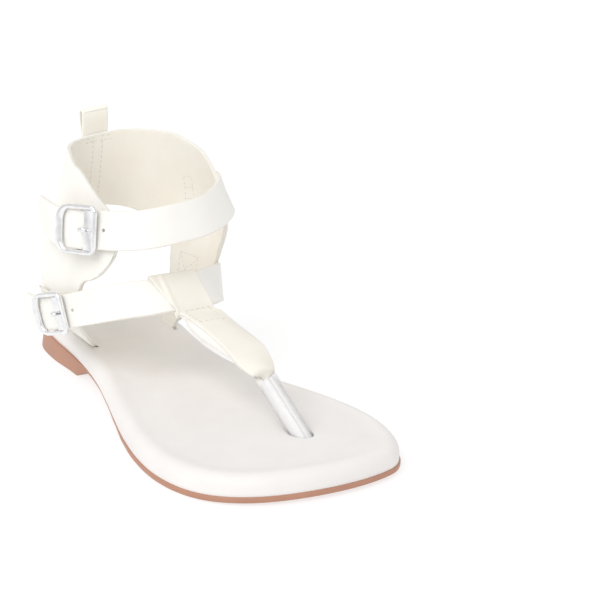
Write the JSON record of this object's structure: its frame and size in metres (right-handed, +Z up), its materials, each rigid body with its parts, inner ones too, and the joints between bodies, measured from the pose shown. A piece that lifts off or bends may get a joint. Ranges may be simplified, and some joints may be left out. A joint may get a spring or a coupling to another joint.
{
  "type": "ankle strap sandal",
  "caption": "Flat right-foot sandal with a padded footbed, low heel, ankle cuff, buckled ankle and instep straps, and a toe strap running to a sleeved toe post.",
  "frame": {"origin": "middle of the bounding box on the floor under the sole", "axes": "+Z up, toe towards -Y, heel towards +Y, outer (lateral) side at -X, inner (medial) side at +X"},
  "size_m": [0.0984, 0.25, 0.1182],
  "materials": {
    "tan_unit": "satin tan moulded sole unit",
    "footbed_leather": "soft matt off-white padded leather",
    "white_leather": "smooth white leather with a cream lining",
    "clear_sleeve": "clear flexible tube",
    "chape_leather": "thin cream leather",
    "buckle_metal": "polished silver plate"
  },
  "bodies": {
    "root": {"outsole": "tan_unit", "footbed": "footbed_leather", "upper": "white_leather", "toe_post_sleeve": "clear_sleeve", "pull_loop": "white_leather", "ankle_chape": "chape_leather", "instep_chape": "chape_leather", "ankle_buckle": "buckle_metal", "instep_buckle": "buckle_metal", "ankle_prong": "buckle_metal", "instep_prong": "buckle_metal", "chape_rivet": "buckle_metal"}
  },
  "joints": []
}
